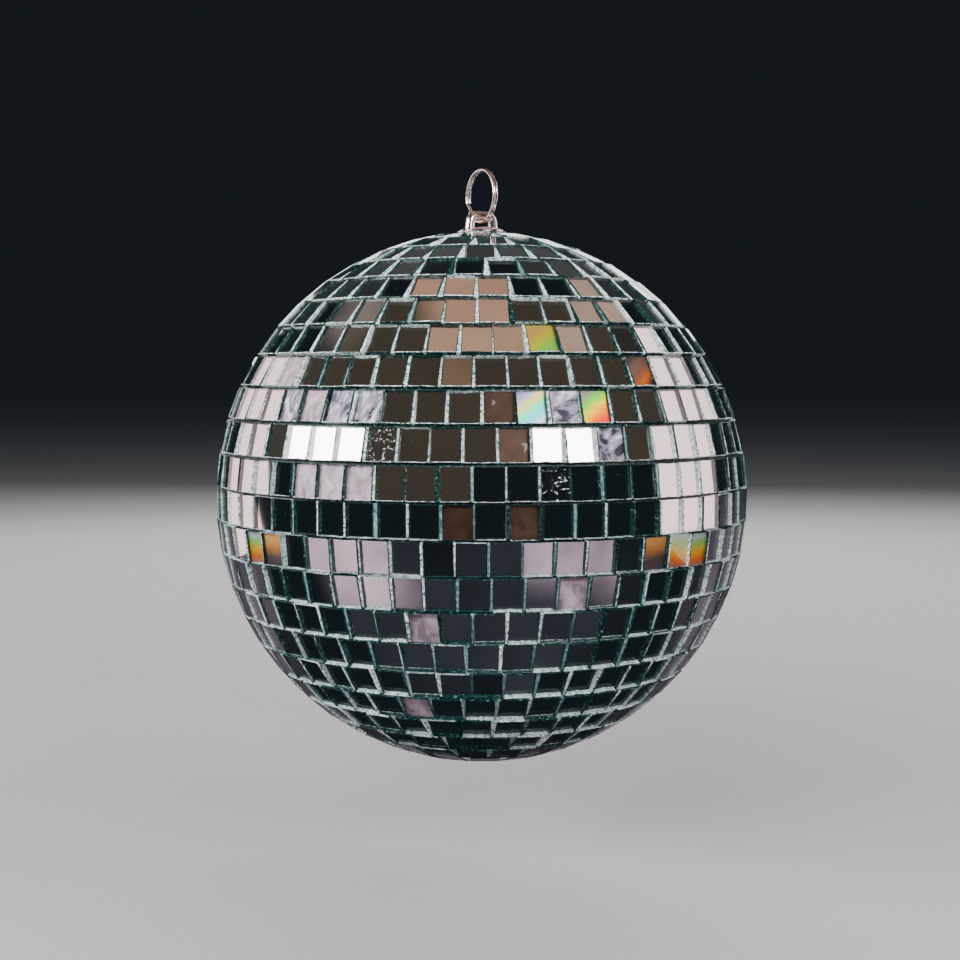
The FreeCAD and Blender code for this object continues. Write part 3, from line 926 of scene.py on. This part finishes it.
def add_patch(work, cloud, total, aside, above, half_width, half_height, softness, cloudiness, radiance):
    """The total with one soft-edged patch added, which the cloud, a value about 0, mottles."""
    inside = work.math("MULTIPLY", work.edge(work.math("ABSOLUTE", aside), half_width, softness),
                       work.edge(work.math("ABSOLUTE", above), half_height, softness))
    mottled = work.math("MULTIPLY_ADD", cloud, 2 * cloudiness, 1.0)
    share = work.math("MAXIMUM", work.math("MULTIPLY", inside, mottled), 0.0)
    return work.added(total, work.scaled(radiance, share))


def build_world():
    """Dark round the ball, with soft patches that only mirrors see."""
    world = bpy.data.worlds.new("studio")
    world.use_nodes = True
    world.cycles_visibility.diffuse = False
    bpy.context.scene.world = world
    tree = world.node_tree
    work = NodeMath(tree)
    direction = view_direction(tree)
    cloud = work.math("SUBTRACT", clouds(tree, direction), 0.5)
    parts = tree.nodes.new("ShaderNodeSeparateXYZ")
    tree.links.new(direction, parts.inputs["Vector"])
    azimuth = work.math("DEGREES", work.math("ARCTAN2", parts.outputs["Y"], parts.outputs["X"]))
    elevation = work.math("DEGREES", work.math("ARCSINE", parts.outputs["Z"]))
    total = DARK
    for centre, height, *rest in PATCHES:
        aside = work.math("WRAP", work.math("SUBTRACT", azimuth, centre), 180, -180)
        total = add_patch(work, cloud, total, aside, work.math("SUBTRACT", elevation, height), *rest)
    rise = work.math("MAXIMUM", parts.outputs["Z"], LEAST_RISE)
    forward = work.math("DIVIDE", parts.outputs["X"], rise)
    rightward = work.math("DIVIDE", parts.outputs["Y"], rise)
    for front, right, *rest in CEILING:
        ahead = work.math("SUBTRACT", forward, front)
        total = add_patch(work, cloud, total, ahead, work.math("SUBTRACT", rightward, right), *rest)
    path = tree.nodes.new("ShaderNodeLightPath")
    seen = tree.nodes.new("ShaderNodeMix")
    seen.data_type = "RGBA"
    tree.links.new(path.outputs["Is Camera Ray"], seen.inputs["Factor"])
    tree.links.new(total, seen.inputs["A"])
    seen.inputs["B"].default_value = (*DARK, 1)
    tree.links.new(seen.outputs["Result"], tree.nodes["Background"].inputs["Color"])


def build_stage():
    for panel in PANELS:
        add_panel(*panel)
    build_world()
    half = FLOOR_SIZE / 2
    height = CENTRE.z - FLOOR_DROP
    corners = [(-half, -half, height), (half, -half, height), (half, half, height), (-half, half, height)]
    material, *_, shader = new_material("pale_floor")
    shader.inputs["Base Color"].default_value = (*FLOOR_COLOUR, 1)
    shader.inputs["Emission Color"].default_value = (*DARK, 1)
    shader.inputs["Emission Strength"].default_value = 1.0
    shader.inputs["Roughness"].default_value = 0.9
    shader.inputs["Specular IOR Level"].default_value = 0.0
    floor = mesh_object("floor", corners, [[0, 1, 2, 3]], [material], [0])
    floor.visible_diffuse = False
    floor.visible_glossy = False
    floor.visible_transmission = False
    floor.visible_shadow = False


# --- putting it together -------------------------------------------------------------------------

def give(node, material):
    """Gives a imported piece, which keeps its CAD shape, its one material."""
    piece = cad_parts[node]
    piece.data.materials.clear()
    piece.data.materials.append(material)


def tile_materials():
    """The materials of every tile, in the order of GLASS to SUNSET."""
    row_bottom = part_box("tile_row_lower_01")[0].z
    return [
        clear_glass(), frosted_edge(), cut_side(), bare_rim(),
        silver_clean(), silver_flecked(), silver_streaked(), silver_milky(), silver_tarnished(),
        painted_glint_bands("silver_rainbow_cool", COOL_BANDS, SLANTING, COOL_START),
        painted_glint_bands("silver_rainbow_warm", WARM_BANDS, SLANTING, WARM_START),
        painted_glint_bands("silver_rainbow_pale", PALE_BANDS, SLANTING, PALE_START),
        painted_glint_bands("silver_ember", EMBER_BANDS, SLANTING, EMBER_START),
        painted_glint_bands("silver_amber", AMBER_BANDS, UPWARDS, row_bottom),
        painted_glint_bands("silver_sunset", SUNSET_BANDS, UPWARDS, row_bottom),
    ]


def build_object():
    slots = tile_materials()
    bead_slots = [slots[FROSTED], set_adhesive(), slots[SNAPPED]]
    thickness = tile_thickness("tile_row_equator")
    for node in TILE_NODES:
        build_tile_row(node, slots, bead_slots, thickness)
    for node in ("pole_tiles_top", "pole_tiles_bottom"):
        build_pole_tiles(node, slots, thickness)
    for node in ("adhesive_upper", "adhesive_lower"):
        give(node, slots[SNAPPED])
    nickel = nickel_material()
    for node in ("cap_dish", "wire_eye", "hanger_bolt", "split_ring"):
        give(node, nickel)
    zinc = zinc_material()
    for node in ("spreader_plate", "spring_washer", "hex_nut"):
        give(node, zinc)
    core = core_material()
    for node in ("core_upper_half", "core_lower_half"):
        give(node, core)


build_camera()
build_stage()
build_object()
